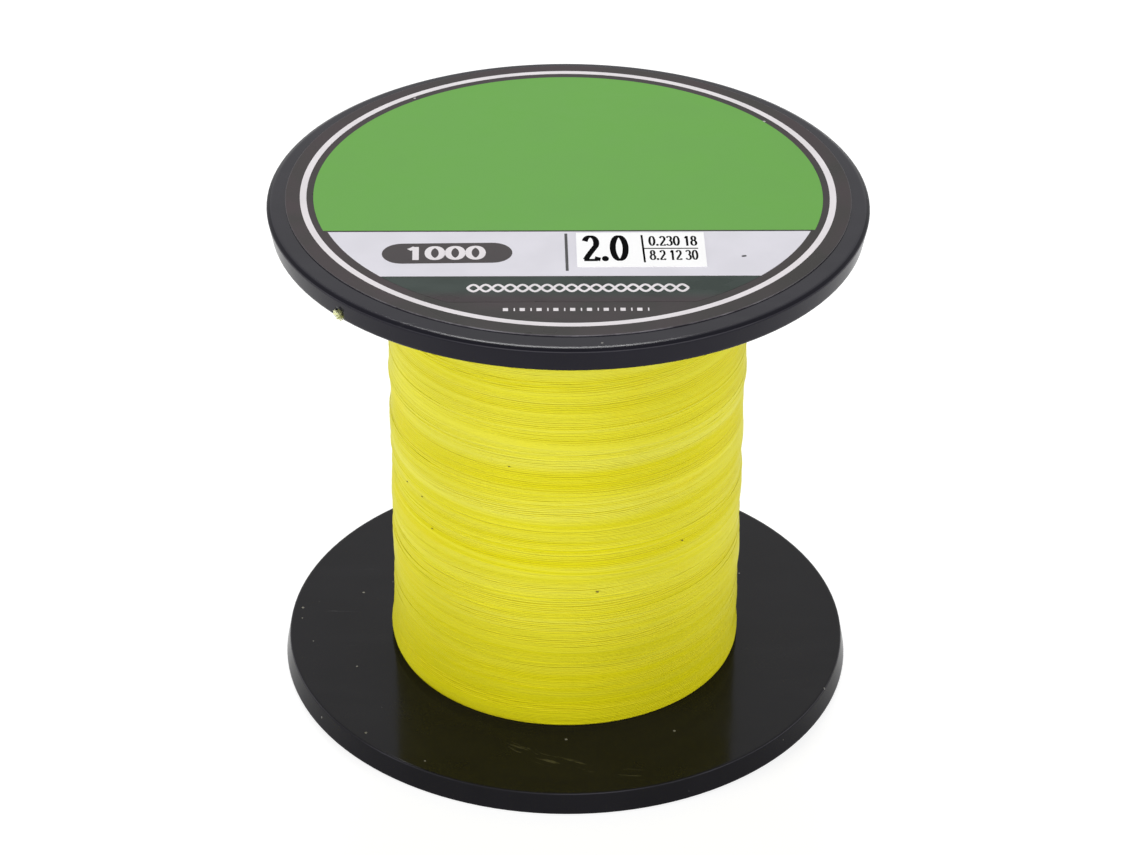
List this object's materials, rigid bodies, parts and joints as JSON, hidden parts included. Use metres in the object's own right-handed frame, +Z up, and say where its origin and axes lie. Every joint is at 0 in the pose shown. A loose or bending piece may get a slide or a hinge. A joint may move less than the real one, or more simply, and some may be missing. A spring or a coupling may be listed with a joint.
{
  "type": "fishing line spool",
  "caption": "Bulk spool of braided fishing line: round flanges on a hollow barrel with a spindle tube, wound line and a plain round label.",
  "frame": {"origin": "centre of the ring that the lower flange stands on", "axes": "+Z up along the spool's axis; the label reads along +X and is seen from -Y"},
  "size_m": [0.09, 0.09, 0.0822],
  "materials": {
    "flange_plastic": "glossy black moulded polystyrene with fine scuffs",
    "barrel_plastic": "black moulded tube, satin inside",
    "tube_plastic": "black moulded tube",
    "cap_plastic": "black moulded disc",
    "label_print": "printed vinyl film, dark ground",
    "sticker_paper": "white coated sticker",
    "tape_paper": "paper tape",
    "line_core_braid": "inner layers of yellow braid",
    "line_braid": "bright yellow braided line with a soft sheen",
    "line_end_braid": "frayed end of the yellow braid"
  },
  "bodies": {
    "root": {"lower_flange": "flange_plastic", "upper_flange": "flange_plastic", "barrel": "barrel_plastic", "spindle_tube": "tube_plastic", "end_cap": "cap_plastic", "label": "label_print", "size_sticker": "sticker_paper", "starter_tape": "tape_paper", "line_core": "line_core_braid", "line_winding": "line_braid", "line_end": "line_end_braid"}
  },
  "joints": []
}
